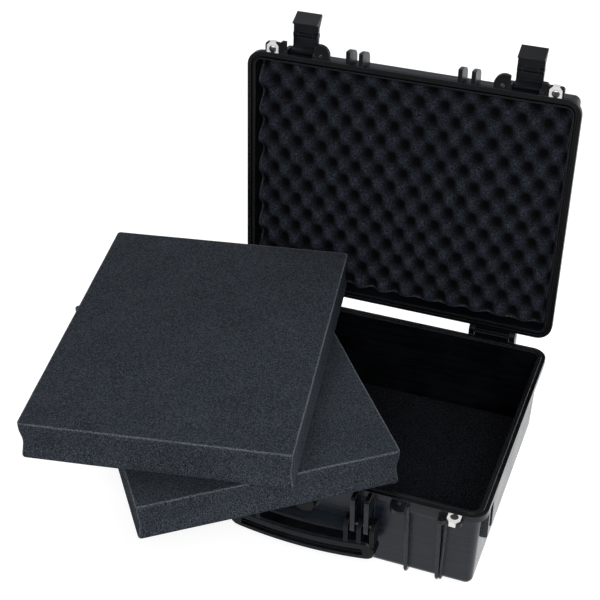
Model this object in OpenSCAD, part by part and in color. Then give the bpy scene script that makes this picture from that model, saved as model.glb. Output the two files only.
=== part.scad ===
// Microphone case: a moulded hard case with a hinged lid, two draw latches, a swinging carry
// handle, a pressure valve and foam inserts. The lid stands open on its stops, and the two
// cube-cut foam blocks lie stacked askew on the rim of the base.
// Origin at the centre of the flat bottom, X to the right, Y to the back, Z up.

/* [Case] */
// Width over the rims
rim_w = 466; // [430:1:520]
// Depth over the rims, front to back
rim_d = 366; // [340:1:420]
// Height of the base, from the feet to the parting plane
base_h = 134; // [124:1:170]
// Height of the lid above the parting plane
lid_h = 50; // [46:1:70]
// Wall thickness of both shells
wall = 4.5; // [4:0.25:5.5]
// How far the rims stand out past the walls
rim_out = 7; // [6.5:0.25:8]
// Height of the rim of the base
base_rim_h = 9; // [7:0.5:11]
// Draft of the walls in degrees
draft = 2; // [1:0.25:3]
// Corner radius of the rims in plan
corner_r = 22; // [20:1:30]
// Radius of the long edges at the bottom of the base and the top of the lid
edge_r = 10; // [8:0.5:12]
// Height of the raised flat field under the base that the case stands on
foot_h = 2.5; // [2:0.25:4]
// Width of that field
foot_w = 372; // [340:1:376]
// Depth of that field
foot_d = 272; // [240:1:276]
// Gap between the rims when the lid is shut
rim_gap = 0.4; // [0.3:0.1:0.8]

/* [Seal] */
// Height of the sealing lip on the rim of the base
lip_h = 2.5; // [2:0.25:3]
// Thickness of the sealing lip
lip_t = 3.5; // [3:0.25:4]
// Distance of the lip from the outer edge of the rim
lip_in = 5.5; // [5.25:0.25:6]
// Diameter of the round rubber seal in the groove of the lid
seal_d = 3; // [2.5:0.25:3.5]
// Plastic over the groove of the seal
groove_roof = 2.1; // [1.5:0.1:3]

/* [Hinges] */
// Distance of each hinge from the middle of the case
hinge_x = 149; // [120:1:160]
// Length over both ears of one hinge
hinge_len = 68; // [60:1:80]
// Thickness of one hinge ear on the base
hinge_ear_t = 8; // [6:0.5:10]
// Radius of the ears round the hinge axis
hinge_ear_r = 8; // [7.5:0.1:8.2]
// Radius of the barrel on the lid
barrel_r = 7; // [6:0.25:7.5]
// Distance of the hinge axis behind the rim
hinge_back = 8.8; // [8.8:0.1:10]
// Height of the hinge axis above the parting plane
hinge_up = 6.5; // [6:0.25:8]
// Diameter of the hinge pins
hinge_pin_d = 5; // [4:0.5:6]
// Opening angle of the lid at its stop
lid_open = 93.75; // [90:0.25:96]

/* [Latches] */
// Distance of each latch from the middle of the case
latch_x = 156.3; // [145:0.1:165]
// Width of a latch
latch_w = 36; // [30:1:40]
// Height of the latch pivot above the parting plane
pivot_up = 21; // [20:0.5:24]
// Length of the upper link between its two pivots
link_len = 24; // [22:0.5:26]
// Thickness of the link and the lever
latch_t = 5.5; // [5:0.25:6]
// Radius of the knuckles between link and lever
knuckle_r = 4.6; // [4.2:0.1:4.8]
// Thickness of the cheeks and ribs beside a latch
cheek_t = 5; // [4:0.5:6]
// Height of the catch bar under the rim of the base
catch_h = 9.5; // [8:0.5:11]
// How far the hook reaches under the catch bar
hook_bite = 3; // [2:0.25:3.5]
// Diameter of the pin in the lid
link_pin_d = 3.5; // [3:0.25:4]
// Diameter of the pin between link and lever
lever_pin_d = 3; // [2.5:0.25:3.5]

/* [Padlock eyes] */
// Distance of the padlock eyes from the middle of the case
eye_x = 196; // [190:0.5:200]
// Diameter of the padlock holes
eye_d = 8.6; // [7:0.2:9]
// Thickness of the padlock ears
eye_t = 6; // [5:0.5:8]
// Width of the steel plates
plate_w = 17; // [15:0.5:18]
// Thickness of the steel plates
plate_t = 1.2; // [0.8:0.1:1.5]
// Distance of the holes for cable ties from the middle of the case
tie_x = 126; // [124:0.5:127]
// Diameter of the holes for cable ties
tie_d = 5.4; // [4:0.2:6]

/* [Handle] */
// Distance of the inner handle fin from the middle of the case
fin_x = 68.7; // [60:0.1:75]
// Distance between the two fins of a pair
fin_step = 18.3; // [18:0.1:20]
// Thickness of a fin
fin_t = 5.8; // [4.5:0.1:6]
// How far the fins reach past the rim
fin_out = 19; // [17:0.5:21]
// Depth of the handle pivot below the parting plane
grip_pivot_down = 52; // [45:1:56]
// Radius of the handle knuckles
grip_knuckle_r = 11.5; // [10.5:0.25:12]
// Width of a handle knuckle
grip_knuckle_w = 5.8; // [5:0.1:6.5]
// Height of the grip
grip_h = 29.5; // [27:0.5:31]
// Thickness of the grip, front to back
grip_t = 21; // [18:0.5:22]
// Drop from the handle pivot to the lowest point of the grip
grip_drop = 56; // [54:1:66]
// How much lower the middle of the grip hangs than its ends
grip_sag = 8; // [6:0.5:11]
// Diameter of the handle pins
grip_pin_d = 5; // [4:0.5:6]

/* [Valve] */
// Depth of the valve below the parting plane
valve_down = 40; // [36:1:44]
// Diameter of the valve knob
knob_d = 27; // [22:1:28]
// Thickness of the valve knob
knob_t = 8; // [6:0.5:9]
// Diameter of the hole in the wall for the valve
valve_hole_d = 15; // [12:0.5:17]

/* [Foam] */
// Length of the upper foam block
upper_l = 439; // [400:1:440]
// Width of the upper foam block
upper_w = 341; // [300:1:342]
// Thickness of the upper foam block
upper_t = 56; // [45:1:56]
// Length of the lower foam block
lower_l = 430; // [395:1:432]
// Width of the lower foam block
lower_w = 334; // [295:1:335]
// Thickness of the lower foam block
lower_t = 54; // [45:1:55]
// Thickness of the pad on the floor
pad_t = 10; // [6:1:12]
// Distance between two rows of dimples across the lid foam
crate_x = 35; // [30:0.5:40]
// Distance between two like rows of dimples up the lid foam
crate_y = 46; // [40:0.5:50]
// Height of the crests of the lid foam over its dimples
crate_h = 19; // [14:1:22]
// Distance of the crests behind the parting plane
crate_in = 9; // [8:0.5:11]
// Sideways shift of the dimples
crate_shift = 6; // [0:0.5:12]

/* [Hidden] */
$fn = 64;

plastic = [0.13, 0.14, 0.16];
rubber = [0.06, 0.06, 0.07];
foam = [0.2, 0.22, 0.26];
steel = [0.75, 0.76, 0.78];

// Clearances: a pin in the piece that holds it, a pin in the piece that turns on it,
// faces that slide past each other, and foam in its place
hold_gap = 0.02;
turn_gap = 0.08;
side_gap = 0.4;
foam_gap = 0.3;
// Solids that join overlap by this much, and cutters pass through faces by it
bite = 1;

// Walls and rims
body_w = rim_w - 2 * rim_out;
body_d = rim_d - 2 * rim_out;
body_r = corner_r - rim_out;
inner_edge_r = edge_r - wall;
foot_r = 20;
recess_side = 2;
recess_deep = 1.8;
front_y = -rim_d / 2;
lid_z = base_h + rim_gap;
seal_gap = 0.3;
groove_top = lip_h + seal_gap + seal_d;
lid_rim_h = groove_top + groove_roof - rim_gap;
groove_side = 0.5;
seal_path_in = lip_in + lip_t / 2;

// Hinge
hinge_y = rim_d / 2 + hinge_back;
hinge_z = base_h + hinge_up;
stop_gap = 0.3;
stop_reach = 6.5;
ear_web_down = 36;
arm_gap = 0.2;
barrel_len = hinge_len - 2 * hinge_ear_t - 2 * side_gap;
stop_len = barrel_len - 1;

// Latch pivots, with the latch shut: the link hangs on the lid, the lever on the link
pivot_y = front_y + 0.5;
pivot_z = base_h + pivot_up;
link_eye_r = 5;
elbow_y = front_y - knuckle_r - 0.6;
elbow_z = pivot_z - link_len;
latch_inner_y = front_y - 2;
latch_outer_y = latch_inner_y - latch_t;
latch_angle = 90;
catch_z = base_h - base_rim_h - catch_h;
catch_y = front_y + 0.2;
hook_gap = 0.4;
hook_z = catch_z - hook_gap;
tail_y = front_y - 16.4;
tail_z = hook_z - 11.6;
tail_t = 3.4;
knuckle_split = 22;
cheek_x = latch_w / 2 + side_gap + cheek_t / 2;
cheek_edge = 1.5;

// Ribs on the front wall: reach of the two kinds, step to the second one and its lean,
// rounded foot
rib_out = 11;
outer_rib_out = 9;
outer_rib_t = 4;
outer_rib_step = 8.5;
outer_rib_lean = 2;
rib_foot_h = 12;
rib_foot_in = 12;
rib_taper = 0.85;
// Share of the rib's thickness and distance behind its nose of each layer
rib_layers = [[1, 1.8], [0.78, 0.8], [0.46, 0]];

// Gussets under the rim on the side walls: distance from the front of the rim, lowest point
gusset_in = 33;
gusset_step = 22;
gusset_low = base_h - 58;
gusset_r = 4;

// Eyes
eye_out = 5.2;
eye_y = front_y - eye_out;
eye_half = 11;
eye_tip_y = eye_y - 9.4;
eye_round = 4;
tie_r = 14;
tie_off = [2, -1.5];
lug_tip_y = front_y - 17.5;
lug_flat = 6;
lug_slope_y = front_y - 14;
base_eye_z = base_h - plate_t;
lid_eye_z = lid_z;
plate_depth = 14;
plate_ring = 1;
tab_w = 8.6;
tab_h = 7.5;

// Handle
fin_y = front_y - fin_out;
fin_rise = 33;
fin_fade = 0.8;
grip_pivot_y = fin_y + grip_knuckle_r;
grip_pivot_z = base_h - grip_pivot_down;
finger_gap = 2.5;
end_in = fin_x - fin_t / 2 - finger_gap - grip_knuckle_w;
end_out = fin_x + fin_step + fin_t / 2 + finger_gap + grip_knuckle_w;
grip_low_z = grip_pivot_z - grip_drop;
grip_end_in = 10;
grip_end_x = end_out - grip_end_in;
grip_arc_r = (grip_end_x * grip_end_x + grip_sag * grip_sag) / (2 * grip_sag);
grip_front_y = fin_y - 2;
grip_back_y = grip_front_y + grip_t;
grip_round = 3;
grip_steps = 24;
slot_h = 11.5;
slot_deep = 6;
slot_up = 8;
slot_end = 2;
finger_step = 1.2;
finger_root = 7;

// Valve
valve_z = base_h - valve_down;
boss_r = 18;
boss_t = 9.5;
boss_y = front_y + 5;
boss_back_y = boss_y + boss_t;
valve_seal_t = 1.4;
valve_flange_r = 15;
valve_flange_t = 3.5;
valve_flange_y = boss_y - valve_seal_t - 0.1;
valve_stub_r = 4;
valve_stub_len = 6;
nut_t = 5;
nut_wide = 5;
knob_notches = 12;
knob_notch_r = 2.4;
knob_y = valve_flange_y - valve_flange_t - 0.3;

// Foam blocks: place of the middle of each block and its turn about Z
// the lower one keeps its right corner over the base and its back corner clear of the hinges,
// and the upper one lies a little aside on it
lower_turn = 127.9;
lower_side = 85;
lower_back = 1.8;
lower_reach = lower_l / 2 * abs(sin(lower_turn)) + lower_w / 2 * abs(cos(lower_turn));
lower_at = [lower_side - rim_w / 2, rim_d / 2 - lower_back - lower_reach];
upper_turn = 100.6;
upper_at = [lower_at[0] - 43, lower_at[1] + 4];
lower_z = base_h + lip_h + foam_gap;
upper_z = lower_z + lower_t + foam_gap;
foam_edge = 2;
pad_r = 12;
pad_side = 5.2;
crate_bevel = 4.5;
crate_r = body_r - wall + 2;
crate_cells_x = 6;
crate_cells_y = 4;

function inset(drop) = drop * tan(draft);
function wall_y(z) = -body_d / 2 + inset(z < base_h ? base_h - z : z - base_h);
function side_wall(z) = -body_w / 2 + inset(base_h - z);
function arc(cy, cz, r, from, to, n = 8) =
    [for (i = [0 : n]) let (a = from + (to - from) * i / n) [cy + r * cos(a), cz + r * sin(a)]];

// ---- Shared shapes ----

module round_rect(w, d, r) {
    square([w - 2 * r, d], center = true);
    square([w, d - 2 * r], center = true);
    for (sx = [-1, 1], sy = [-1, 1])
        translate([sx * (w / 2 - r), sy * (d / 2 - r)]) circle(r = r);
}

// Band between two distances from the outer edge of the rims
module rim_band(from, to) {
    difference() {
        round_rect(rim_w - 2 * from, rim_d - 2 * from, corner_r - from);
        round_rect(rim_w - 2 * to, rim_d - 2 * to, corner_r - to);
    }
}

// Drafted box with rounded edges, closed end at z = 0 and open end at z = h
module tub(w, d, h, r, edge) {
    hull() {
        for (sx = [-1, 1], sy = [-1, 1]) {
            translate([sx * (w / 2 - r), sy * (d / 2 - r), h - 0.1])
                cylinder(r = r, h = 0.1, $fn = 32);
            translate([sx * (w / 2 - inset(h) - edge), sy * (d / 2 - inset(h) - edge), edge])
                sphere(r = edge, $fn = 32);
        }
    }
}

// Plate across X with a side profile given in Y and Z
module slab(x, t) {
    translate([x - t / 2, 0, 0]) rotate([90, 0, 90]) linear_extrude(t) children();
}

module rod(x, len, y, z, r) {
    translate([x - len / 2, y, z]) rotate([0, 90, 0]) cylinder(h = len, r = r);
}

// From the shut lid to the open lid
module lid_pose() {
    translate([0, hinge_y, hinge_z]) rotate([-lid_open, 0, 0]) translate([0, -hinge_y, -hinge_z])
        children();
}

// From the shut latch to the latch standing out from the lid
module latch_pose() {
    translate([0, pivot_y, pivot_z]) rotate([-latch_angle, 0, 0])
        translate([0, -pivot_y, -pivot_z]) children();
}

// ---- Base ----

// Side outline of a rib that tapers down to a rounded foot, drawn in by `back`
module rib_outline(top_z, reach, back) {
    foot_z = foot_h + rib_foot_h;
    foot_y = wall_y(foot_h) - reach * rib_taper + back;
    polygon(concat(
        [[wall_y(top_z) + wall / 2, top_z], [wall_y(top_z) - reach + back, top_z]],
        [for (a = [0 : 15 : 90])
            [foot_y + rib_foot_in * (1 - cos(a)), foot_z - (rib_foot_h - 0.5 - back) * sin(a)]],
        [[wall_y(foot_h) + wall + edge_r / 2, foot_h + edge_r / 2 + wall]]
    ));
}

// Rib on the front wall, its nose rounded off in three layers
module front_rib(x, t, top_z, reach) {
    for (layer = rib_layers) slab(x, t * layer[0]) rib_outline(top_z, reach, layer[1]);
}

// Gusset under the rim of the right-hand wall, rounded at its low outer corner
module side_gusset(y) {
    out = rim_w / 2 - 0.5;
    rotate([0, 0, 90]) slab(y, cheek_t) polygon(concat(
        [[side_wall(base_h) + wall / 2, base_h - base_rim_h + bite],
            [-out, base_h - base_rim_h + bite]],
        arc(gusset_r - out, gusset_low + gusset_r, gusset_r, 180, 270, 4),
        [[side_wall(gusset_low) + wall / 2, gusset_low]]
    ));
}

module handle_fin(x) {
    top_z = base_h - 0.3;
    slab(x, fin_t) {
        polygon([
            [wall_y(grip_pivot_z) + wall / 2, top_z], [fin_y + 2, top_z], [fin_y, top_z - 3],
            [fin_y, grip_pivot_z], [grip_pivot_y, grip_pivot_z - grip_knuckle_r],
            [wall_y(grip_pivot_z) + wall / 2, grip_pivot_z - 2 * grip_knuckle_r]
        ]);
        translate([grip_pivot_y, grip_pivot_z]) circle(r = grip_knuckle_r);
    }
}

// Ear of a hinge with the web that carries it down the back wall
module hinge_ear(x) {
    back_y = -wall_y(base_h);
    slab(x, hinge_ear_t) {
        translate([hinge_y, hinge_z]) circle(r = hinge_ear_r);
        polygon([
            [back_y - wall / 2, base_h], [hinge_y - hinge_ear_r, base_h],
            [hinge_y - hinge_ear_r, hinge_z], [hinge_y + hinge_ear_r, hinge_z],
            [hinge_y + hinge_ear_r, base_h - base_rim_h],
            [back_y - wall / 2, base_h - ear_web_down]
        ]);
    }
}

// Ear for a padlock, the lug that ties it to the latch and the lug for a cable tie on the
// other side of the latch, seen from above
module ears(side) {
    root = wall_y(base_h) + wall / 2;
    inner = latch_x - cheek_x;
    outer = latch_x + cheek_x;
    difference() {
        union() {
            translate([side * eye_x, (eye_tip_y + root) / 2])
                round_rect(2 * eye_half, root - eye_tip_y, eye_round);
            polygon([for (p = [
                [outer, root], [outer, lug_tip_y], [outer + lug_flat, lug_tip_y],
                [eye_x - eye_half + 2, lug_slope_y], [eye_x - eye_half + 2, root]
            ]) [side * p[0], p[1]]]);
            intersection() {
                union() {
                    translate([side * (tie_x + tie_off[0]), eye_y + tie_off[1]]) circle(r = tie_r);
                    translate([side * (tie_x + tie_off[0]) - tie_r, eye_y + tie_off[1]])
                        square([2 * tie_r, root - eye_y - tie_off[1]]);
                }
                translate([side * (inner - tie_r) - tie_r, eye_y - 3 * tie_r])
                    square([2 * tie_r, 6 * tie_r]);
            }
        }
        translate([side * eye_x, eye_y]) circle(d = eye_d);
        translate([side * tie_x, eye_y]) circle(d = tie_d);
    }
}

module catch_bar(side) {
    slab(side * latch_x, latch_w + 2 * side_gap + bite) polygon(concat(
        [[wall_y(catch_z) + wall / 2, base_h - base_rim_h + bite], [catch_y, base_h - base_rim_h + bite],
            [catch_y, catch_z + 2]],
        arc(catch_y + 2, catch_z + 2, 2, 180, 270, 4),
        [[wall_y(catch_z) + wall / 2, catch_z]]
    ));
}

module base_solid() {
    rib_top_z = base_eye_z - eye_t + bite;
    translate([0, 0, foot_h]) tub(body_w, body_d, base_h - foot_h, body_r, edge_r);
    translate([0, 0, base_h - base_rim_h])
        linear_extrude(base_rim_h) round_rect(rim_w, rim_d, corner_r);
    translate([0, 0, base_h - bite]) linear_extrude(lip_h + bite) rim_band(lip_in, lip_in + lip_t);
    linear_extrude(foot_h + bite) round_rect(foot_w, foot_d, foot_r);
    for (side = [-1, 1]) {
        for (end = [-1, 1])
            front_rib(side * (latch_x + end * cheek_x), cheek_t, rib_top_z, rib_out);
        translate([side * (latch_x + cheek_x + outer_rib_step), 0, rib_top_z])
            rotate([0, side * outer_rib_lean, 0]) translate([0, 0, -rib_top_z])
                front_rib(0, outer_rib_t, rib_top_z, outer_rib_out);
        for (step = [0, gusset_step])
            mirror([side < 0 ? 1 : 0, 0, 0]) side_gusset(front_y + gusset_in + step);
        catch_bar(side);
        handle_fin(side * fin_x);
        handle_fin(side * (fin_x + fin_step));
        for (end = [-1, 1])
            hinge_ear(side * hinge_x + end * (hinge_len - hinge_ear_t) / 2);
        translate([0, 0, base_eye_z - eye_t]) linear_extrude(eye_t) ears(side);
    }
    translate([0, boss_y, valve_z]) rotate([-90, 0, 0])
        cylinder(h = boss_back_y - boss_y, r = boss_r);
}

module base_shell() {
    color(plastic) difference() {
        base_solid();
        difference() {
            translate([0, 0, foot_h + wall])
                tub(body_w - 2 * wall, body_d - 2 * wall, base_h - foot_h - wall + bite,
                    body_r - wall, inner_edge_r);
            translate([0, boss_y, valve_z]) rotate([-90, 0, 0])
                cylinder(h = boss_back_y - boss_y, r = boss_r);
        }
        for (side = [-1, 1]) {
            rod(side * hinge_x, hinge_len + 2 * bite, hinge_y, hinge_z, hinge_pin_d / 2 + hold_gap);
            rod(side * (fin_x + fin_step / 2), fin_step + 2 * fin_t, grip_pivot_y, grip_pivot_z,
                grip_pin_d / 2 + hold_gap);
        }
        translate([0, boss_y - bite, valve_z]) rotate([-90, 0, 0])
            cylinder(h = boss_back_y - boss_y + 2 * bite, d = valve_hole_d);
    }
}

// ---- Lid, drawn shut ----

// Barrel on the lid, its arm and the heel that meets the base's rim when the lid is open
module hinge_barrel(x) {
    arm_low = lid_z + arm_gap;
    slab(x, barrel_len) {
        translate([hinge_y, hinge_z]) circle(r = barrel_r);
        polygon([
            [rim_d / 2 - bite, arm_low], [hinge_y, arm_low], [hinge_y, hinge_z + barrel_r],
            [rim_d / 2 - bite, lid_z + lid_rim_h]
        ]);
    }
    translate([0, hinge_y, hinge_z]) rotate([lid_open, 0, 0])
        slab(x, stop_len)
            translate([stop_gap - hinge_back, -hinge_up - stop_reach])
                square([hinge_back - stop_gap, hinge_up + stop_reach]);
}

// Cheek beside a latch, with the seat of the link pin
module latch_cheek(x) {
    slab(x, cheek_t) {
        translate([pivot_y, pivot_z]) circle(r = link_eye_r + cheek_edge);
        polygon([
            [wall_y(lid_z) + wall / 2, lid_z + 0.6], [front_y - 4, lid_z + 0.6],
            [front_y - 6.5, lid_z + 4], [pivot_y - link_eye_r - cheek_edge, pivot_z],
            [pivot_y, pivot_z + link_eye_r + cheek_edge],
            [wall_y(pivot_z + 12) + wall / 2, pivot_z + 12]
        ]);
    }
}

// Fin over the handle, a quarter ellipse that fades into the front of the lid
module lid_fin(x) {
    slab(x, fin_t) polygon(concat(
        [[wall_y(lid_z) + wall / 2, lid_z + 0.4]],
        [for (a = [0 : 10 : 90])
            [front_y - (fin_out - 1) * pow(cos(a), fin_fade), lid_z + 0.4 + fin_rise * sin(a)]],
        [[wall_y(lid_z + fin_rise) + wall / 2, lid_z + fin_rise + 2]]
    ));
}

module lid_solid() {
    translate([0, 0, base_h + lid_h]) mirror([0, 0, 1])
        tub(body_w, body_d, lid_h - rim_gap, body_r, edge_r);
    translate([0, 0, lid_z]) linear_extrude(lid_rim_h) round_rect(rim_w, rim_d, corner_r);
    for (side = [-1, 1]) {
        hinge_barrel(side * hinge_x);
        latch_cheek(side * (latch_x - cheek_x));
        latch_cheek(side * (latch_x + cheek_x));
        lid_fin(side * fin_x);
        lid_fin(side * (fin_x + fin_step));
        translate([0, 0, lid_eye_z + plate_t]) linear_extrude(eye_t) ears(side);
    }
}

module lid_shell() {
    color(plastic) lid_pose() difference() {
        lid_solid();
        translate([0, 0, base_h + lid_h - wall]) mirror([0, 0, 1])
            tub(body_w - 2 * wall, body_d - 2 * wall, lid_h - wall + bite, body_r - wall,
                inner_edge_r);
        translate([0, 0, base_h - bite]) linear_extrude(groove_top + bite)
            rim_band(lip_in - groove_side, lip_in + lip_t + groove_side);
        translate([0, 0, base_h + lid_h - recess_deep]) linear_extrude(recess_deep + bite)
            round_rect(foot_w + 2 * recess_side, foot_d + 2 * recess_side, foot_r + recess_side);
        for (side = [-1, 1]) {
            rod(side * hinge_x, hinge_len, hinge_y, hinge_z, hinge_pin_d / 2 + turn_gap);
            rod(side * latch_x, latch_w + 2 * side_gap + 2 * cheek_t + 2 * bite, pivot_y, pivot_z,
                link_pin_d / 2 + hold_gap);
        }
    }
}

// Round rubber seal, one quarter turn in each corner
module lid_seal() {
    seal_r = corner_r - seal_path_in;
    half_w = rim_w / 2 - corner_r;
    half_d = rim_d / 2 - corner_r;
    color(rubber) lid_pose() translate([0, 0, base_h + groove_top - seal_d / 2]) {
        for (s = [-1, 1]) {
            translate([-half_w, s * (half_d + seal_r), 0]) rotate([0, 90, 0])
                cylinder(h = 2 * half_w, d = seal_d, $fn = 32);
            translate([s * (half_w + seal_r), half_d, 0]) rotate([90, 0, 0])
                cylinder(h = 2 * half_d, d = seal_d, $fn = 32);
        }
        for (turn = [0 : 90 : 270]) {
            sx = turn == 0 || turn == 270 ? 1 : -1;
            sy = turn < 180 ? 1 : -1;
            translate([sx * half_w, sy * half_d, 0]) rotate([0, 0, turn])
                rotate_extrude(angle = 90) translate([seal_r, 0]) circle(d = seal_d, $fn = 32);
        }
    }
}

// ---- Latches, drawn shut ----

// Pivot bores of a latch: the pin in the lid and the pin at the elbow
module latch_bores(side, pivot_gap, elbow_gap) {
    rod(side * latch_x, latch_w + 2 * bite, pivot_y, pivot_z, link_pin_d / 2 + pivot_gap);
    rod(side * latch_x, latch_w + 2 * bite, elbow_y, elbow_z, lever_pin_d / 2 + elbow_gap);
}

module latch_link(side) {
    cut_r = knuckle_r + side_gap;
    color(plastic) lid_pose() latch_pose() difference() {
        union() {
            rod(side * latch_x, latch_w, pivot_y, pivot_z, link_eye_r);
            rod(side * latch_x, latch_w, elbow_y, elbow_z, knuckle_r);
            slab(side * latch_x, latch_w) polygon([
                [pivot_y + 2, pivot_z - link_eye_r + 1], [latch_inner_y, pivot_z - link_eye_r - 4],
                [latch_inner_y, elbow_z], [latch_outer_y, elbow_z],
                [latch_outer_y, pivot_z - 2], [pivot_y - 2, pivot_z + link_eye_r - 0.6]
            ]);
        }
        rod(side * latch_x, knuckle_split, elbow_y, elbow_z, cut_r);
        translate([side * latch_x - knuckle_split / 2, elbow_y - cut_r - bite, elbow_z - cut_r - bite])
            cube([knuckle_split, 2 * cut_r + 2 * bite, cut_r + bite]);
        latch_bores(side, turn_gap, hold_gap);
    }
}

// Lever with the hook that goes under the catch bar and the turned-out finger tail
module latch_lever(side) {
    cut_r = knuckle_r + side_gap;
    hook_y = catch_y + hook_bite;
    side_w = (latch_w - knuckle_split) / 2 + side_gap;
    color(plastic) lid_pose() latch_pose() difference() {
        union() {
            rod(side * latch_x, latch_w, elbow_y, elbow_z, knuckle_r);
            slab(side * latch_x, latch_w) polygon([
                [latch_inner_y - 0.5, elbow_z], [latch_inner_y - 0.5, hook_z],
                [hook_y, hook_z], [hook_y, hook_z - 1.6], [tail_y, tail_z],
                [tail_y - tail_t * 0.45, tail_z + tail_t], [latch_outer_y, hook_z + 6],
                [latch_outer_y, elbow_z]
            ]);
        }
        for (end = [-1, 1])
            rod(side * latch_x + end * (latch_w - side_w + bite) / 2, side_w + bite, elbow_y, elbow_z,
                cut_r);
        latch_bores(side, hold_gap, turn_gap);
    }
}

module link_pin(side) {
    color(steel) lid_pose()
        rod(side * latch_x, latch_w + 2 * side_gap + 2 * cheek_t, pivot_y, pivot_z, link_pin_d / 2);
}

module lever_pin(side) {
    color(steel) lid_pose() latch_pose()
        rod(side * latch_x, latch_w - 1, elbow_y, elbow_z, lever_pin_d / 2);
}

// ---- Steel plates of the padlock eyes ----

// Plate with cut corners and a tab folded over the edge of the ear; up is 1 or -1
module eye_plate(side, up) {
    half = plate_w / 2;
    rear_y = front_y - 0.5;
    face_y = rear_y - plate_depth;
    tab_y = eye_tip_y - plate_t - 0.1;
    difference() {
        union() {
            linear_extrude(plate_t) polygon([for (p = [
                [-half, rear_y], [half, rear_y], [half, face_y + 4], [half - 3.5, face_y],
                [3.5 - half, face_y], [-half, face_y + 4]]) [side * eye_x + p[0], p[1]]]);
            translate([side * eye_x - tab_w / 2, tab_y, up > 0 ? plate_t - tab_h : 0])
                cube([tab_w, plate_t, tab_h]);
            translate([side * eye_x - tab_w / 2, tab_y, 0])
                cube([tab_w, face_y - tab_y + bite, plate_t]);
        }
        translate([side * eye_x, eye_y, -bite])
            cylinder(h = plate_t + 2 * bite, d = eye_d + 2 * plate_ring);
    }
}

module base_eye_plate(side) {
    color(steel) translate([0, 0, base_eye_z]) eye_plate(side, 1);
}

module lid_eye_plate(side) {
    color(steel) lid_pose() translate([0, 0, lid_eye_z]) eye_plate(side, -1);
}

// ---- Pins of the hinges and the handle ----

module hinge_pin(side) {
    color(steel) rod(side * hinge_x, hinge_len - 2, hinge_y, hinge_z, hinge_pin_d / 2);
}

module handle_pin(side) {
    color(steel) rod(side * (end_in + end_out) / 2, end_out - end_in - 1, grip_pivot_y,
        grip_pivot_z, grip_pin_d / 2);
}

// ---- Handle, hanging down ----

// Point of the grip at an angle along its arc, a distance up from its lower edge and a distance
// past that angle along the arc's tangent
function grip_point(angle, up, past) =
    let (r = grip_arc_r - up)
        [r * sin(angle) + past * cos(angle),
            grip_low_z + grip_arc_r - r * cos(angle) + past * sin(angle)];

// Bar with cut edges along the arc, its ends round in front view
module grip_bar() {
    half = grip_h / 2;
    reach = asin(grip_end_x / grip_arc_r);
    stations = concat(
        [for (a = [75, 60, 40, 20]) [-reach, -half * sin(a), half * cos(a)]],
        [for (i = [0 : grip_steps]) [reach * (2 * i / grip_steps - 1), 0, half]],
        [for (a = [20, 40, 60, 75]) [reach, half * sin(a), half * cos(a)]]
    );
    rings = [for (s = stations)
        let (h = s[2], c = min(grip_round, h / 2), f = grip_front_y, b = grip_back_y)
            for (q = [[h, f + c], [h, b - c], [h - c, b], [c - h, b], [-h, b - c], [-h, f + c],
                    [c - h, f], [h - c, f]])
                let (p = grip_point(s[0], half - q[0], s[1])) [p[0], q[1], p[1]]];
    n = 8;
    last = len(stations) - 1;
    polyhedron(rings, concat(
        [[for (k = [0 : n - 1]) k]],
        [for (i = [0 : last - 1], k = [0 : n - 1]) let (m = (k + 1) % n)
            each [[i * n + k, (i + 1) * n + k, (i + 1) * n + m], [i * n + k, (i + 1) * n + m, i * n + m]]],
        [[for (k = [n - 1 : -1 : 0]) last * n + k]]
    ));
}

// Groove along the front of the grip
module grip_slot() {
    reach = asin((grip_end_x - slot_end) / grip_arc_r);
    angles = [for (i = [0 : grip_steps]) reach * (2 * i / grip_steps - 1)];
    translate([0, grip_front_y + slot_deep, 0]) rotate([90, 0, 0]) linear_extrude(slot_deep + bite)
        polygon(concat(
            [for (a = angles) grip_point(a, slot_up, 0)],
            [for (i = [grip_steps : -1 : 0]) grip_point(angles[i], slot_up + slot_h, 0)]
        ));
}

// Knuckle that stands on the grip beside a fin
module grip_knuckle(x) {
    rise = grip_arc_r - sqrt(grip_arc_r * grip_arc_r - x * x);
    root_z = grip_low_z + rise + grip_h - finger_root;
    slab(x, grip_knuckle_w) {
        translate([grip_pivot_y, grip_pivot_z]) circle(r = grip_knuckle_r);
        polygon([
            [grip_pivot_y - grip_knuckle_r, grip_pivot_z], [grip_front_y + finger_step, root_z],
            [grip_back_y - finger_step, root_z], [grip_pivot_y + grip_knuckle_r, grip_pivot_z]
        ]);
    }
}

module handle() {
    color(plastic) difference() {
        union() {
            grip_bar();
            for (side = [-1, 1], x = [end_in + grip_knuckle_w / 2, fin_x + fin_step / 2,
                    end_out - grip_knuckle_w / 2])
                grip_knuckle(side * x);
        }
        grip_slot();
        for (side = [-1, 1])
            rod(side * (end_in + end_out) / 2, end_out - end_in + 2 * bite, grip_pivot_y,
                grip_pivot_z, grip_pin_d / 2 + turn_gap);
    }
}

// ---- Pressure valve ----

module valve_turn(y) {
    translate([0, y, valve_z]) rotate([90, 0, 0]) children();
}

module valve_body() {
    color(plastic) {
        valve_turn(valve_flange_y) cylinder(h = valve_flange_t, r = valve_flange_r);
        valve_turn(valve_flange_y) cylinder(h = valve_flange_t + valve_stub_len, r = valve_stub_r);
        valve_turn(boss_back_y + nut_t + 1)
            cylinder(h = boss_back_y + nut_t + 1 - valve_flange_y, r = valve_hole_d / 2 - 0.1);
    }
}

module valve_seal() {
    color(rubber) valve_turn(boss_y) difference() {
        cylinder(h = valve_seal_t, r = valve_flange_r - 2);
        translate([0, 0, -bite]) cylinder(h = valve_seal_t + 2 * bite, d = valve_hole_d + 1);
    }
}

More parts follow.
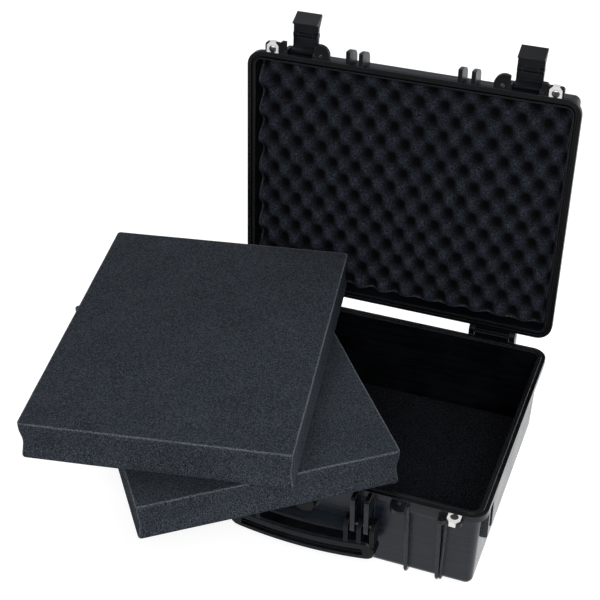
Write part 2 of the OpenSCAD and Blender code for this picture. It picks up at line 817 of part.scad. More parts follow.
module valve_nut() {
    color(plastic) valve_turn(boss_back_y + nut_t) difference() {
        cylinder(h = nut_t, r = valve_hole_d / 2 + nut_wide, $fn = 6);
        translate([0, 0, -bite]) cylinder(h = nut_t + 2 * bite, r = valve_hole_d / 2 - 0.05);
    }
}

module valve_knob() {
    color(plastic) valve_turn(knob_y) difference() {
        cylinder(h = knob_t, d = knob_d);
        for (i = [0 : knob_notches - 1])
            rotate([0, 0, i * 360 / knob_notches]) translate([knob_d / 2 + 1, 0, -bite])
                cylinder(h = knob_t + 2 * bite, r = knob_notch_r);
        translate([0, 0, -bite])
            cylinder(h = valve_stub_len + bite, r = valve_stub_r + turn_gap);
    }
}

// ---- Foam ----

module base_foam_pad() {
    side = pad_side + inset(base_h - foot_h - wall);
    color(foam) translate([0, 0, foot_h + wall + 0.1]) linear_extrude(pad_t)
        round_rect(body_w - 2 * wall - 2 * side, body_d - 2 * wall - 2 * side, pad_r);
}

module foam_block(l, w, t) {
    linear_extrude(t) round_rect(l, w, foam_edge);
}

module lower_foam_block() {
    color(foam) translate([lower_at[0], lower_at[1], lower_z]) rotate([0, 0, lower_turn])
        foam_block(lower_l, lower_w, lower_t);
}

module upper_foam_block() {
    color(foam) translate([upper_at[0], upper_at[1], upper_z]) rotate([0, 0, upper_turn])
        foam_block(upper_l, upper_w, upper_t);
}

// Egg-crate foam: a slab whose open face follows the product of two cosines
module lid_foam() {
    top_z = base_h + lid_h - wall - 0.1;
    crest_z = base_h + crate_in;
    w = body_w - 2 * wall - 2 * inset(lid_h) - 2 * foam_gap;
    d = body_d - 2 * wall - 2 * inset(lid_h) - 2 * foam_gap;
    nx = round(w / crate_x * crate_cells_x);
    ny = round(d / crate_y * crate_cells_y);
    row = ny + 1;
    count = (nx + 1) * row;
    // Points past the round corners of the outline are drawn in to them
    function tuck(p) = let (c = [w / 2 - crate_r, d / 2 - crate_r],
            v = [abs(p[0]) - c[0], abs(p[1]) - c[1]])
        v[0] <= 0 || v[1] <= 0 || norm(v) <= crate_r ? p
        : [sign(p[0]) * (c[0] + v[0] * crate_r / norm(v)),
            sign(p[1]) * (c[1] + v[1] * crate_r / norm(v))];
    function face(x, y) = crest_z
        + crate_h * (0.5 - 0.5 * cos(360 * (x + crate_shift) / crate_x) * cos(360 * y / crate_y));
    low = [for (i = [0 : nx], j = [0 : ny])
        let (p = tuck([w * (i / nx - 0.5), d * (j / ny - 0.5)])) [p[0], p[1], face(p[0], p[1])]];
    // The border of the grid, all the way round, and its copies above and below the bevel that
    // clears the round edge inside the lid
    border = concat([for (i = [0 : nx - 1]) i * row], [for (j = [0 : ny - 1]) nx * row + j],
        [for (i = [nx : -1 : 1]) i * row + ny], [for (j = [ny : -1 : 1]) j]);
    high = [for (b = border) [low[b][0], low[b][1], top_z - crate_bevel]];
    flat = [for (b = border)
        [low[b][0] * (1 - 2 * crate_bevel / w), low[b][1] * (1 - 2 * crate_bevel / d), top_z]];
    n = len(border);
    cells = [for (i = [0 : nx - 1], j = [0 : ny - 1]) let (a = i * row + j)
        each [[a, a + row, a + row + 1], [a, a + row + 1, a + 1]]];
    walls = [for (k = [0 : n - 1]) let (m = (k + 1) % n)
        each [[border[k], count + k, count + m], [border[k], count + m, border[m]]]];
    bevel = [for (k = [0 : n - 1]) let (m = (k + 1) % n, c = count + n)
        each [[count + k, c + k, c + m], [count + k, c + m, count + m]]];
    back = [for (k = [0 : n - 1]) [count + n + k, count + 2 * n, count + n + (k + 1) % n]];
    color(foam) lid_pose()
        polyhedron(concat(low, high, flat, [[0, 0, top_z]]), concat(cells, walls, bevel, back));
}

base_shell();
lid_shell();
lid_seal();
base_foam_pad();
lid_foam();
lower_foam_block();
upper_foam_block();
hinge_pin(-1);  // hinge_pin_left
hinge_pin(1);  // hinge_pin_right
handle();
handle_pin(-1);  // handle_pin_left
handle_pin(1);  // handle_pin_right
latch_link(-1);  // latch_link_left
latch_link(1);  // latch_link_right
latch_lever(-1);  // latch_lever_left
latch_lever(1);  // latch_lever_right
link_pin(-1);  // link_pin_left
link_pin(1);  // link_pin_right
lever_pin(-1);  // lever_pin_left
lever_pin(1);  // lever_pin_right
lid_eye_plate(-1);  // lid_eye_plate_left
lid_eye_plate(1);  // lid_eye_plate_right
base_eye_plate(-1);  // base_eye_plate_left
base_eye_plate(1);  // base_eye_plate_right
valve_body();
valve_seal();
valve_nut();
valve_knob();
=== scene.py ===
import math

import bmesh
import bpy
from mathutils import Matrix, Vector, noise


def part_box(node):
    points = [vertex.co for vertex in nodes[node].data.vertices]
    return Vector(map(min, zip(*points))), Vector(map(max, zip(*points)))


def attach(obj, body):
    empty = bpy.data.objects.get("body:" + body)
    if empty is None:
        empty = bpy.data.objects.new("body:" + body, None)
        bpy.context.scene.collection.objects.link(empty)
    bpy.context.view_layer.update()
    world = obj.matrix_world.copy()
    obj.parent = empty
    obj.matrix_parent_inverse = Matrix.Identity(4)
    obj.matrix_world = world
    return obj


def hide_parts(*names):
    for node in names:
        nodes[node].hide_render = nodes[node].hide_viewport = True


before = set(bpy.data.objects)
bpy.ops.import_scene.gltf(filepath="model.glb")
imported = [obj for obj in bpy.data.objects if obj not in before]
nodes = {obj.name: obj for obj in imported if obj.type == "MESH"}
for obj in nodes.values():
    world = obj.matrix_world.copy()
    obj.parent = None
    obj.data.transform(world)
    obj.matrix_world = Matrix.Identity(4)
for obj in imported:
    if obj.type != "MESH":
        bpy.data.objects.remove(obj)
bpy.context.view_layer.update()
print("frame loaded:", len(nodes), "nodes")

mm = 0.001

# camera and lamps, solved from the photograph

camera = {
    "lens": 80.88,                        # millimetres
    "sensor": 36,
    "farClip": 50,
    "place": (0.4436, -1.3740, 1.3068),
    "azimuth": 20.754,                    # degrees
    "elevation": 35.265,
    "roll": -0.188,
}

lamps = {
    "key": {"place": (0.8, -2.1, 1.8), "aim": (0.0, 0.0, 0.2), "size": 1.2, "power": 47},
    "top": {"place": (-0.7, 0.6, 2.4), "aim": (-0.1, 0.0, 0.1), "size": 1.4, "power": 24},
    "rim": {"place": (1.7, 1.5, 1.0), "aim": (0.1, 0.1, 0.2), "size": 1.2, "power": 26},
}


def aimedMatrix(place, back, roll=0.0):
    right = Vector((0, 0, 1)).cross(back).normalized()
    up = back.cross(right)
    turnedRight = right * math.cos(roll) + up * math.sin(roll)
    turnedUp = up * math.cos(roll) - right * math.sin(roll)
    turn = Matrix((turnedRight, turnedUp, back)).transposed().to_4x4()
    return Matrix.Translation(place) @ turn


def addObject(name, data):
    made = bpy.data.objects.new(name, data)
    bpy.context.scene.collection.objects.link(made)
    return made


def placeCamera():
    data = bpy.data.cameras.new("caseCamera")
    data.lens = camera["lens"]
    data.sensor_width = camera["sensor"]
    data.clip_end = camera["farClip"]
    body = addObject("caseCamera", data)
    azimuth, elevation = math.radians(camera["azimuth"]), math.radians(camera["elevation"])
    back = Vector((math.sin(azimuth) * math.cos(elevation),
                   -math.cos(azimuth) * math.cos(elevation), math.sin(elevation)))
    body.matrix_world = aimedMatrix(Vector(camera["place"]), back, math.radians(camera["roll"]))
    bpy.context.scene.camera = body


def placeLamp(name, lamp):
    data = bpy.data.lights.new(name + "Light", "AREA")
    data.size = lamp["size"]
    data.energy = lamp["power"]
    place = Vector(lamp["place"])
    body = addObject(name + "Light", data)
    body.matrix_world = aimedMatrix(place, (place - Vector(lamp["aim"])).normalized())


placeCamera()
for lampName, lamp in lamps.items():
    placeLamp(lampName, lamp)
bpy.context.scene.view_settings.view_transform = "Standard"
print("camera and lights placed")


# shader helpers

class Wire:
    # a socket of a shader that takes part in sums
    def __init__(self, tree, socket):
        self.tree, self.socket = tree, socket

    def calc(self, operation, *values, clamp=False):
        settings = {"operation": operation, "use_clamp": clamp}
        return addNode(self.tree, "ShaderNodeMath", settings, dict(enumerate(values)))

    def __add__(self, other):
        return self.calc("ADD", self, other)

    def __radd__(self, other):
        return self.calc("ADD", other, self)

    def __sub__(self, other):
        return self.calc("SUBTRACT", self, other)

    def __rsub__(self, other):
        return self.calc("SUBTRACT", other, self)

    def __mul__(self, other):
        return self.calc("MULTIPLY", self, other)

    def __rmul__(self, other):
        return self.calc("MULTIPLY", other, self)

    def __truediv__(self, other):
        return self.calc("DIVIDE", self, other)

    def __pow__(self, other):
        return self.calc("POWER", self, other)

    def top(self, other):
        return self.calc("MAXIMUM", self, other)

    def size(self):
        return self.calc("ABSOLUTE", self)

    def held(self):
        # kept between 0 and 1
        return self.calc("ADD", self, 0.0, clamp=True)


def addNode(tree, kind, settings=None, sockets=None, output=0):
    made = tree.nodes.new(kind)
    for key, value in (settings or {}).items():
        if key == "stops":
            for stop, (place, tone) in zip(made.color_ramp.elements, value):
                stop.position = place
                stop.color = (tone, tone, tone, 1)
        else:
            setattr(made, key, value)
    for key, value in (sockets or {}).items():
        if isinstance(value, Wire):
            tree.links.new(value.socket, made.inputs[key])
        else:
            made.inputs[key].default_value = value
    return Wire(tree, made.outputs[output]) if made.outputs else None


def objectPlace(tree, stretch=(1, 1, 1)):
    place = addNode(tree, "ShaderNodeTexCoord", output="Object")
    if stretch == (1, 1, 1):
        return place
    return addNode(tree, "ShaderNodeMapping", None, {"Vector": place, "Scale": stretch})


def axisOf(tree, place, axis):
    return addNode(tree, "ShaderNodeSeparateXYZ", None, {"Vector": place}, output=axis)


def grain(tree, size, detail, rough, stretch=(1, 1, 1)):
    return addNode(tree, "ShaderNodeTexNoise", None, {
        "Vector": objectPlace(tree, stretch), "Scale": 1 / size, "Detail": detail,
        "Roughness": rough})


def pores(tree, size):
    return addNode(tree, "ShaderNodeTexVoronoi", {"feature": "F1"}, {
        "Vector": objectPlace(tree), "Scale": 1 / size, "Randomness": 1.0})


def attribute(tree, name):
    return addNode(tree, "ShaderNodeAttribute", {"attribute_name": name}, output="Fac")


def ramp(tree, value, low, high):
    return addNode(tree, "ShaderNodeValToRGB", {"stops": ((low, 0), (high, 1))}, {"Fac": value})


mixSockets = {"share": 0, "first": 6, "second": 7, "result": 2}    # those of the Mix node's colours


def mixTone(tree, share, first, second):
    sockets = {mixSockets["share"]: share}
    for key, tone in (("first", first), ("second", second)):
        sockets[mixSockets[key]] = tone if isinstance(tone, Wire) else (*tone, 1)
    return addNode(tree, "ShaderNodeMix", {"data_type": "RGBA"}, sockets, mixSockets["result"])


def bump(tree, height, depth, strength, normal=None):
    sockets = {"Height": height, "Distance": depth, "Strength": strength}
    if normal:
        sockets["Normal"] = normal
    return addNode(tree, "ShaderNodeBump", None, sockets)


def rayIs(tree, kind):
    return addNode(tree, "ShaderNodeLightPath", output="Is " + kind + " Ray")


def seenPlainly(tree):
    return rayIs(tree, "Camera").top(rayIs(tree, "Transmission"))


def freshTree(owner):
    owner.use_nodes = True
    owner.node_tree.nodes.clear()
    return owner.node_tree


def makeMaterial(name, makeShader):
    made = bpy.data.materials.new(name)
    tree = freshTree(made)
    addNode(tree, "ShaderNodeOutputMaterial", None, {"Surface": makeShader(tree)})
    return made


def makeFinish(name, build):
    return makeMaterial(name, lambda tree: addNode(
        tree, "ShaderNodeBsdfPrincipled", None, build(tree)))


# studio: plain white for the camera; gloss sees a white horizon that darkens overhead

studio = {
    "given": 0.18,                        # what falls on the object
    "overhead": 0.12,                     # what gloss sees straight above
    "fall": 1.8,                          # how fast the horizon darkens with height
}

floorLook = {
    "size": 14.0,
    "tone": (0.40, 0.40, 0.41),
    "seenGlow": 0.82,
    "glossGlow": 1.15,
    "near": 1.2,                          # from here outwards the floor brightens to plain white
    "fade": 3.0,
}


def makeWorld():
    world = bpy.data.worlds.new("studio")
    bpy.context.scene.world = world
    tree = freshTree(world)
    height = axisOf(tree, addNode(tree, "ShaderNodeTexCoord"), "Z")
    horizon = (1 - height * studio["fall"]).held().top(studio["overhead"])
    plain, gloss = seenPlainly(tree), rayIs(tree, "Glossy")
    strength = plain.top(gloss * horizon) + (1 - plain) * (1 - gloss) * studio["given"]
    shader = addNode(tree, "ShaderNodeBackground", None,
                     {"Color": (1, 1, 1, 1), "Strength": strength})
    addNode(tree, "ShaderNodeOutputWorld", None, {"Surface": shader})


def floorShader(tree):
    matt = addNode(tree, "ShaderNodeBsdfDiffuse", None, {"Color": (*floorLook["tone"], 1)})
    away = addNode(tree, "ShaderNodeVectorMath", {"operation": "LENGTH"},
                   {0: objectPlace(tree)}, output="Value")
    far = ((away - floorLook["near"]) / floorLook["fade"]).held()
    seenGlow = far * (1 - floorLook["seenGlow"]) + floorLook["seenGlow"]
    glowing = (seenPlainly(tree) * seenGlow).top(rayIs(tree, "Glossy") * floorLook["glossGlow"])
    glow = addNode(tree, "ShaderNodeEmission", None, {"Color": (1, 1, 1, 1), "Strength": glowing})
    return addNode(tree, "ShaderNodeAddShader", None, {0: matt, 1: glow})


def makeFloor():
    data = bpy.data.meshes.new("floor")
    shape = bmesh.new()
    bmesh.ops.create_grid(shape, x_segments=1, y_segments=1, size=floorLook["size"])
    shape.to_mesh(data)
    shape.free()
    data.materials.append(makeMaterial("floorWhite", floorShader))
    addObject("floor", data)


makeWorld()
makeFloor()
print("world and floor made")


# moulded plastic: near black inside and on the rims as painted shade, paler on the outer walls
# noises are given as size, detail and roughness

hinge = {"place": (0, 191.8 * mm, 140.5 * mm), "open": 93.75}

shell = {
    "half": (223.7 * mm, 173.7 * mm),     # the middle of the walls at the parting plane
    "corner": 12.8 * mm,
    "draft": 0.035,
    "parting": 134.2 * mm,
    "flange": 12 * mm,                    # how far the painted shade on the rim reaches from the parting plane
    "soft": 1 * mm,
    # the outer walls' own tone; inside the case and on the rims the shells are painted near black
    # as shade
    "wallDark": (0.0058, 0.0092, 0.0145),
    "wallPale": (0.0120, 0.0170, 0.0245),
    "baseStreaks": (0.12, 0.12, 2.4),
    "lidStreaks": (0.12, 2.4, 0.12),
}

plastic = {
    # near black: the fittings' tone, and on the shells the painted shade inside and on the rims
    "dark": (0.0014, 0.0016, 0.0023),
    "pale": (0.0042, 0.0048, 0.0062),
    # edge: lighter colour of worn edges, partly a painted highlight along them
    "edge": (0.085, 0.093, 0.108),
    "cloud": (60 * mm, 4, 0.6),
    "streak": (14 * mm, 4, 0.7),
    "rubbed": (0.40, 0.62),               # where in the noise rubbing starts and is full
    "patch": (9 * mm, 3, 0.6),
    "wearAndHighlight": 1.1,
    "edgeRadius": 1.0 * mm,
    "edgeGain": 5.0,
    "rough": 0.30,
    "rubbedRough": 0.1,
    "wearAndHighlightRough": -0.06,
    "gloss": 1.19,
    "texture": (0.9 * mm, 3, 0.6),
    "depth": 0.05 * mm,
    "bump": 0.6,
}
basePlastic = {**plastic, "gloss": 1.28, "rough": 0.24}
fittingPlastic = {**plastic, "pale": (0.0075, 0.0085, 0.0110), "rough": 0.34, "depth": 0.03 * mm}


def lidSwing(angle):
    place = Vector(hinge["place"])
    turn = Matrix.Rotation(math.radians(angle), 4, "X")
    return Matrix.Translation(place) @ turn @ Matrix.Translation(-place)


def edgeMask(tree, radius, gain):
    # 1 on sharp edges; also gives the normal that rounds them
    plainNormal = addNode(tree, "ShaderNodeNewGeometry", output="Normal")
    roundNormal = addNode(tree, "ShaderNodeBevel", {"samples": 4}, {"Radius": radius})
    facing = addNode(tree, "ShaderNodeVectorMath", {"operation": "DOT_PRODUCT"},
                     {0: plainNormal, 1: roundNormal}, output="Value")
    return ((1 - facing) * gain).held(), roundNormal


def unshadedWallMask(tree, swing):
    # 1 on the outer walls, 0 inside the case and on the rim by the parting plane, where near black
    # is painted as shade
    place = addNode(tree, "ShaderNodeMapping", None, {
        "Vector": objectPlace(tree), "Rotation": swing.to_euler(),
        "Location": swing.to_translation()})
    away = (axisOf(tree, place, "Z") - shell["parting"]).size()
    corner, soft = shell["corner"], shell["soft"]
    past = [axisOf(tree, place, axis).size() + away * shell["draft"] - (half - corner)
            for axis, half in zip("XY", shell["half"])]
    reach = (past[0].top(0) ** 2 + past[1].top(0) ** 2) ** 0.5
    outside = ((reach - corner) / soft + 0.5).held()
    return outside * ((away - shell["flange"]) / (2 * soft)).held()


def plasticFinish(look, streaks=(1, 1, 1), swing=None):
    def build(tree):
        edge, roundNormal = edgeMask(tree, look["edgeRadius"], look["edgeGain"])
        cloud = grain(tree, *look["cloud"])
        streak = grain(tree, *look["streak"], streaks)
        rubbed = ramp(tree, cloud * 0.5 + streak * 0.5, *look["rubbed"])
        # edges lighten in patches, partly as wear and partly as painted highlight
        wearAndHighlight = (edge * grain(tree, *look["patch"]) * look["wearAndHighlight"]).held()
        tone = mixTone(tree, rubbed, look["dark"], look["pale"])
        # inside the case and on the rims the near black tone is painted shade; the outer walls take
        # their own tone
        if swing is not None:
            matt = mixTone(tree, rubbed, shell["wallDark"], shell["wallPale"])
            tone = mixTone(tree, unshadedWallMask(tree, swing), tone, matt)
        texture = grain(tree, *look["texture"])
        return {
            "Base Color": mixTone(tree, wearAndHighlight, tone, look["edge"]),
            "Roughness": look["rough"] + rubbed * look["rubbedRough"] + wearAndHighlight * look["wearAndHighlightRough"],
            "IOR": look["gloss"],
            "Normal": bump(tree, texture, look["depth"], look["bump"], roundNormal),
        }
    return build


# steel and rubber

plateSteel = {
    "dark": (0.62, 0.62, 0.61),
    "pale": (0.90, 0.90, 0.88),
    "rough": 0.4,
    "metal": 0.35,
    "brush": (2.5 * mm, 4, 0.6),
    "along": (0.15, 1, 1),
    "spot": (6 * mm, 3, 0.6),
    "spotRough": 0.15,
    "depth": 0.03 * mm,
    "bump": 0.5,
}
pinSteel = {**plateSteel, "dark": (0.10, 0.10, 0.11), "pale": (0.22, 0.22, 0.23),
            "rough": 0.3, "metal": 0.9}

sealRubber = {
    "dark": (0.0018, 0.0018, 0.0022),
    "pale": (0.0050, 0.0050, 0.0058),
    "dust": (12 * mm, 4, 0.7),
    "rough": 0.6,
    "dustRough": 0.2,
    "gloss": 1.3,
    "texture": (0.8 * mm, 2, 0.5),
    "depth": 0.05 * mm,
    "bump": 0.6,
}


def steelFinish(look):
    def build(tree):
        brush = grain(tree, *look["brush"], look["along"])
        spot = grain(tree, *look["spot"])
        return {
            "Base Color": mixTone(tree, brush, look["dark"], look["pale"]),
            "Metallic": look["metal"],
            "Roughness": look["rough"] + spot * look["spotRough"],
            "Normal": bump(tree, brush, look["depth"], look["bump"]),
        }
    return build


def rubberFinish(look):
    def build(tree):
        dust = grain(tree, *look["dust"])
        texture = grain(tree, *look["texture"])
        return {
            "Base Color": mixTone(tree, dust, look["dark"], look["pale"]),
            "Roughness": look["rough"] + dust * look["dustRough"],
            "IOR": look["gloss"],
            "Normal": bump(tree, texture, look["depth"], look["bump"]),
        }
    return build


# foam: flecked with small dark holes, with a painted highlight along its cut edges

foam = {
    "fleck": (2, 0.6),                    # detail and roughness; the size is each look's pore
    "fleckShare": 0.8,
    "hole": 0.7,                          # size against a pore
    "holeShare": 0.2,
    "holeBump": 0.6,
    "cloud": (45 * mm, 3, 0.5),
    "cloudShare": 0.08,
    "pale": (0.42, 0.76),                 # where in the noise the pale flecks start and are full
    "edgePower": 1.5,
    "edgeFlecks": (0.2, 1.6),             # how strong the painted highlight on an edge is, plainly and with the flecks
    "level": (0.7, 5),                    # from which upward slant a top takes painted shade, and how fast
    # where in the depth the painted shade in the crate's pits starts and is full
    "pitShade": (0.22, 0.85),
    "rough": 0.95,
    "specular": 0.08,
    "bump": 0.6,
    "crease": 35,                         # degrees from which an edge is shaded sharp
}

foamLooks = {
    "block": {
        "dark": (0.0120, 0.0155, 0.0205),
        "pale": (0.112, 0.130, 0.155),
        # edge: the painted highlight along the cut edges
        "edge": (0.130, 0.145, 0.165),
        "top": 0.58,                      # how much of the sides' flecks the top shows; the rest is painted shade
        "pore": 1.7 * mm,
        "depth": 0.6 * mm,
    },
    "crate": {
        "dark": (0.0062, 0.0078, 0.0118),
        "pale": (0.058, 0.068, 0.090),
        # edge: the painted highlight along the liner's rim
        "edge": (0.070, 0.078, 0.094),
        # painted shade deep in the pits
        "pitShade": (0.0016, 0.0017, 0.0022),
        "top": 1.0,
        "pore": 2.0 * mm,
        "depth": 0.5 * mm,
    },
    "pad": {
        # the pad's foam is painted near black as the shade deep inside the case
        "dark": (0.0006, 0.0007, 0.0010),
        "pale": (0.020, 0.022, 0.028),
        "edge": (0.012, 0.013, 0.016),
        "top": 1.0,
        "pore": 2.4 * mm,
        "depth": 0.7 * mm,
    },
}


def foamFinish(look):
    def build(tree):
        fleck = grain(tree, look["pore"], *foam["fleck"])
        hole = pores(tree, look["pore"] * foam["hole"])
        cloud = (grain(tree, *foam["cloud"]) - 0.5) * foam["cloudShare"]
        mixed = fleck * foam["fleckShare"] + hole * foam["holeShare"] + cloud
        share = ramp(tree, mixed, *foam["pale"])
        tone = mixTone(tree, share, look["dark"], look["pale"])
        trueNormal = addNode(tree, "ShaderNodeNewGeometry", output="True Normal")
        # tops are painted darker than the sides, as shade
        topShadeFrom, topShadeGain = foam["level"]
        level = ((axisOf(tree, trueNormal, "Z") - topShadeFrom) * topShadeGain).held()
        tone = mixTone(tree, level * (1 - look["top"]), tone, look["dark"])
        # the crate's pits are painted near black by depth, as shade
        if "pitShade" in look:
            pitShadeShare = ramp(tree, attribute(tree, "deep"), *foam["pitShade"])
            tone = mixTone(tree, pitShadeShare, tone, look["pitShade"])
        # a painted highlight lightens the cut edges
        plainly, flecked = foam["edgeFlecks"]
        edge = attribute(tree, "edge") ** foam["edgePower"] * (plainly + share * flecked).held()
        return {
            "Base Color": mixTone(tree, edge, tone, look["edge"]),
            "Roughness": foam["rough"],
            "Specular IOR Level": foam["specular"],
            "Normal": bump(tree, fleck + hole * foam["holeBump"], look["depth"], foam["bump"]),
        }
    return build


finishes = {
    "baseShell": makeFinish("baseShellPlastic", plasticFinish(
        basePlastic, shell["baseStreaks"], lidSwing(0))),
    "lidShell": makeFinish("lidShellPlastic", plasticFinish(
        plastic, shell["lidStreaks"], lidSwing(hinge["open"]))),
    "fitting": makeFinish("fittingPlastic", plasticFinish(fittingPlastic)),
    "steel": makeFinish("plateSteel", steelFinish(plateSteel)),
    "pin": makeFinish("pinSteel", steelFinish(pinSteel)),
    "rubber": makeFinish("sealRubber", rubberFinish(sealRubber)),
    "block": makeFinish("blockFoam", foamFinish(foamLooks["block"])),
    "crate": makeFinish("crateFoam", foamFinish(foamLooks["crate"])),
    "pad": makeFinish("padFoam", foamFinish(foamLooks["pad"])),
}


def finishOf(name):
    if "eye_plate" in name:
        return "steel"
    if "pin" in name:
        return "pin"
    if "seal" in name:
        return "rubber"
    return {"base_shell": "baseShell", "lid_shell": "lidShell"}.get(name, "fitting")


def dress(body, finish):
    body.data.materials.clear()
    body.data.materials.append(finishes[finish])


for name, body in nodes.items():
    dress(body, finishOf(name))
print("solid nodes dressed")


# foam pieces

cutting = {
    "weld": 0.01 * mm,                    # a cut takes a point this near as its own
    "near": 0.1 * mm,                     # how far a point may be off and still count as level
}


def addPiece(name, shape, finish):
    data = bpy.data.meshes.new(name)
    shape.normal_update()
    shape.to_mesh(data)
    shape.free()
    data.shade_smooth()
    data.set_sharp_from_angle(angle=math.radians(foam["crease"]))
    piece = addObject(name, data)
    dress(piece, finish)
    return piece


def everythingOf(shape):
    return shape.verts[:] + shape.edges[:] + shape.faces[:]


def addBox(size, corner, edge, foot):
    # a box with rounded corners, crisper above than below
    shape = bmesh.new()
    bmesh.ops.create_cube(shape, size=1)
    bmesh.ops.scale(shape, vec=size, verts=shape.verts)
    for level, radius, segments in ((0, corner, 5), (1, edge, 2), (-1, foot, 4)):
        sides = [side for side in shape.edges
                 if round((side.verts[0].co.z + side.verts[1].co.z) / size[2], 3) == level]
        bmesh.ops.bevel(shape, geom=sides, affect="EDGES", offset=radius, segments=segments,
                        profile=0.5, material=-1)
    return shape


def cutAcross(shape, axis, place):
    normal = Vector([float(axis == other) for other in range(3)])
    bmesh.ops.bisect_plane(shape, geom=everythingOf(shape), dist=cutting["weld"],
                           plane_no=normal, plane_co=normal * place)


def cutEvenly(shape, *spans):
    # level cuts across the whole shape, so that many on each axis
    for axis, (count, span) in enumerate(spans):
        for step in range(1, count):
            cutAcross(shape, axis, span * (step / count - 0.5))


block = {
    "cells": (27, 21),                    # cubes along and across
    "levels": 9,
    "slit": 0.10 * mm,                    # half the width of a cut between cubes
    "slitDepth": 0.15 * mm,
    "leastCube": 8 * mm,
    "edge": 1.2 * mm,
    "foot": 4 * mm,
    "corner": 5 * mm,
    "highlightWidth": 2.4 * mm,                     # width of the painted highlight along the edges
    "waist": 2.4 * mm,                    # how far the sides draw in below the top
    "waistRise": 1.15,
    "waistReach": 6 * mm,                 # points this near a side draw in with it
    "wave": 0.5 * mm,                     # how far the cut of the sides strays
    "waveRate": 9,
    "waveReach": 2.1,                     # points further out than the length over this stray
}

blocks = {
    "lowerBlock": {"node": "lower_foam_block", "body": "lower_block", "seed": 3, "turn": 127.9,
                   "centre": (-148 * mm, -91 * mm), "size": (430 * mm, 334 * mm)},
    "upperBlock": {"node": "upper_foam_block", "body": "upper_block", "seed": 8, "turn": 100.6,
                   "centre": (-191 * mm, -87 * mm), "size": (439 * mm, 341 * mm)},
}


def markEdgeHighlight(shape, size):
    # a painted highlight runs along the upper edges and the corners of cut foam
    halves = [span / 2 - block["highlightWidth"] for span in size]
    for axis, half in enumerate(halves):
        for side in (-half, half):
            cutAcross(shape, axis, side)
    edgeHighlightLayer = shape.verts.layers.float.new("edge")
    for vert in shape.verts:
        past = sum(abs(place) > half + cutting["near"] for place, half in zip(vert.co, halves))
        vert[edgeHighlightLayer] = float(past >= 2 and vert.co.z > -halves[2])


def partTop(shape, top):
    # the cuts between the cubes barely part the skin
    cubes = [face for face in shape.faces
             if face.normal.z > 0.99 and face.calc_center_median().z > top - cutting["near"]
             and face.calc_area() > block["leastCube"] ** 2]
    bmesh.ops.inset_individual(shape, faces=cubes, thickness=block["slit"],
                               depth=0, use_even_offset=True)
    kept = {vert for face in cubes for vert in face.verts}
    for vert in shape.verts:
        if vert.co.z > top - cutting["near"] and vert not in kept:
            vert.co.z -= block["slitDepth"]


def drawIn(shape, size, seed):
    # the sides draw in below the crisp top, and their cut strays a little
    length, width, height = size
    for vert in shape.verts:
        place = vert.co.copy()
        share = min(1, (place.z / height + 0.5) * block["waistRise"])
        pull = 1 - block["waist"] * 2 * math.sin(math.pi * share) ** 2 / width
        wave = abs(noise.noise(Vector((place.x, place.y, place.z + seed)) * block["waveRate"]))
        for axis, span in enumerate((length, width)):
            away = abs(place[axis])
            if away > span / 2 - block["waistReach"]:
                vert.co[axis] *= pull
            if away > span / block["waveReach"]:
                vert.co[axis] -= math.copysign(wave * block["wave"], place[axis])


def makeBlock(name, facts):
    low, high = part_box(facts["node"])
    size = (*facts["size"], high.z - low.z)
    shape = addBox(size, block["corner"], block["edge"], block["foot"])
    cutEvenly(shape, *zip((*block["cells"], block["levels"]), size))
    markEdgeHighlight(shape, size)
    partTop(shape, size[2] / 2)
    drawIn(shape, size, facts["seed"])
    middle = Matrix.Translation((*facts["centre"], (low.z + high.z) / 2))
    place = middle @ Matrix.Rotation(math.radians(facts["turn"]), 4, "Z")
    bmesh.ops.transform(shape, matrix=place, verts=shape.verts)
    piece = addPiece(name, shape, "block")
    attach(piece, facts["body"])
    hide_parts(facts["node"])
    print(name, "made:", len(piece.data.polygons), "faces")


for name, facts in blocks.items():
    makeBlock(name, facts)

crate = {
    "pitch": (35 * mm, 46 * mm),
    "shift": 6 * mm,
    "height": 19 * mm,
    "crest": 143 * mm,                    # height of the crests with the lid shut
    "back": 179.4 * mm,
    "size": (438.8 * mm, 338.8 * mm),
    "corner": 12.5 * mm,
    "cornerTurns": (15, 45, 75),          # degrees of the cuts that round a corner
    "bevel": 4.5 * mm,                    # where the back meets the lid's rounded floor
    "weld": 0.001 * mm,
    "step": 3.2 * mm,
    "drift": 3.5 * mm,                    # how far the pits stray from their even rows
    "driftRate": 14,
    "driftLayers": (0.3, 0.7),            # heights in the noise, across and along
    "rough": 0.5 * mm,
    "roughRate": 60,
    "sharp": 1.15,
}


def crateTrims():
    # planes that round the liner's corners and bevel its back, with the lid shut
    halves = Vector((crate["size"][0] / 2, crate["size"][1] / 2, crate["back"]))
    corner = crate["corner"]
    for sideX in (-1, 1):
        for sideY in (-1, 1):
            middle = Vector((sideX * (halves.x - corner), sideY * (halves.y - corner), 0))
            for angle in crate["cornerTurns"]:
                turn = math.radians(angle)
                normal = Vector((sideX * math.cos(turn), sideY * math.sin(turn), 0))
                yield middle + normal * corner, normal
    for side in ((1, 0), (-1, 0), (0, 1), (0, -1)):
        edge = Vector((side[0] * halves.x, side[1] * halves.y, halves.z - crate["bevel"]))
        yield edge, Vector((*side, 1)).normalized()


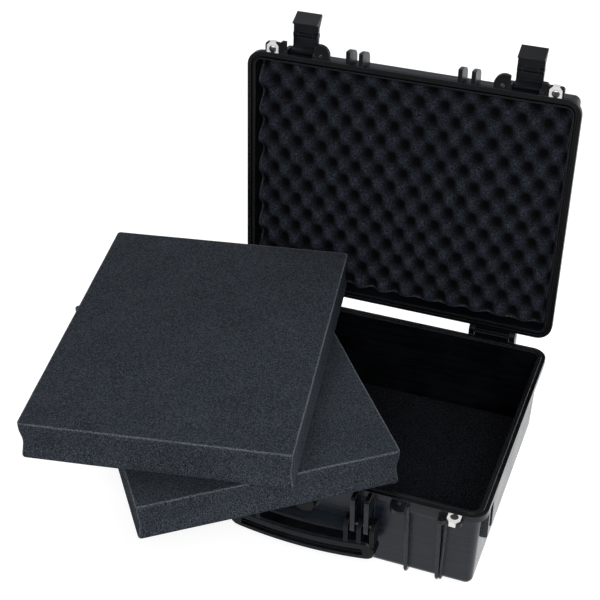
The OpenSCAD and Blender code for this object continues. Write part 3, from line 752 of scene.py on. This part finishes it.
def crateFront():
    # the crests and pits that face the case, as an open sheet
    width, depth = crate["size"]
    shape = bmesh.new()
    bmesh.ops.create_grid(shape, x_segments=round(width / crate["step"]),
                          y_segments=round(depth / crate["step"]), size=0.5)
    bmesh.ops.scale(shape, vec=(width, depth, 1), verts=shape.verts)
    deepLayer = shape.verts.layers.float.new("deep")
    edgeHighlightLayer = shape.verts.layers.float.new("edge")
    for vert in shape.verts:
        place = Vector((vert.co.x, vert.co.y, 0))
        # noise_vector differs from run to run, so each direction has its own layer of noise
        strayX, strayY = (noise.noise((place + Vector((0, 0, layer))) * crate["driftRate"])
                          * crate["drift"] for layer in crate["driftLayers"])
        swell = math.cos(2 * math.pi * (place.x + strayX + crate["shift"]) / crate["pitch"][0])
        swell *= math.cos(2 * math.pi * (place.y + strayY) / crate["pitch"][1])
        deep = (0.5 - 0.5 * swell) ** crate["sharp"]
        rough = noise.noise(place * crate["roughRate"]) * crate["rough"]
        # the depth, by which the crate's finish paints shade into the pits
        vert[deepLayer] = deep
        # the liner's rim takes the painted highlight of cut edges
        vert[edgeHighlightLayer] = float(vert.is_boundary)
        vert.co.z = crate["crest"] + crate["height"] * deep + max(0, rough)
    return shape


def partsOf(geometry, kind):
    return [part for part in geometry if isinstance(part, kind)]


def makeCrate():
    shape = crateFront()
    rim = [edge for edge in shape.edges if edge.is_boundary]
    made = bmesh.ops.extrude_edge_only(shape, edges=rim)["geom"]
    for vert in partsOf(made, bmesh.types.BMVert):
        vert.co.z = crate["back"]
    loop = [edge for edge in partsOf(made, bmesh.types.BMEdge) if edge.is_boundary]
    bmesh.ops.contextual_create(shape, geom=loop)
    for place, normal in crateTrims():
        cut = bmesh.ops.bisect_plane(shape, geom=everythingOf(shape), dist=crate["weld"],
                                     plane_co=place, plane_no=normal, clear_outer=True)
        parted = partsOf(cut["geom_cut"], bmesh.types.BMEdge)
        bmesh.ops.holes_fill(shape, edges=parted, sides=0)
    bmesh.ops.recalc_face_normals(shape, faces=shape.faces)
    bmesh.ops.transform(shape, matrix=lidSwing(-hinge["open"]), verts=shape.verts)
    piece = addPiece("crateLiner", shape, "crate")
    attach(piece, "lid")
    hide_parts("lid_foam")
    print("crate liner made:", len(piece.data.polygons), "faces")


makeCrate()

pad = {
    "corner": 12 * mm,
    "edge": 1.5 * mm,
    "step": 12 * mm,
    "wave": 0.6 * mm,
    "waveRate": 14,
}


def makePad():
    low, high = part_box("base_foam_pad")
    size, centre = high - low, (high + low) / 2
    shape = addBox(size, pad["corner"], pad["edge"], pad["edge"])
    cutEvenly(shape, *((round(span / pad["step"]), span) for span in (size.x, size.y)))
    for vert in shape.verts:
        if vert.co.z > 0:
            vert.co.z -= abs(noise.noise(vert.co * pad["waveRate"])) * pad["wave"]
    bmesh.ops.translate(shape, vec=centre, verts=shape.verts)
    piece = addPiece("floorPad", shape, "pad")
    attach(piece, "base")
    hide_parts("base_foam_pad")
    print("floor pad made:", len(piece.data.polygons), "faces")


makePad()
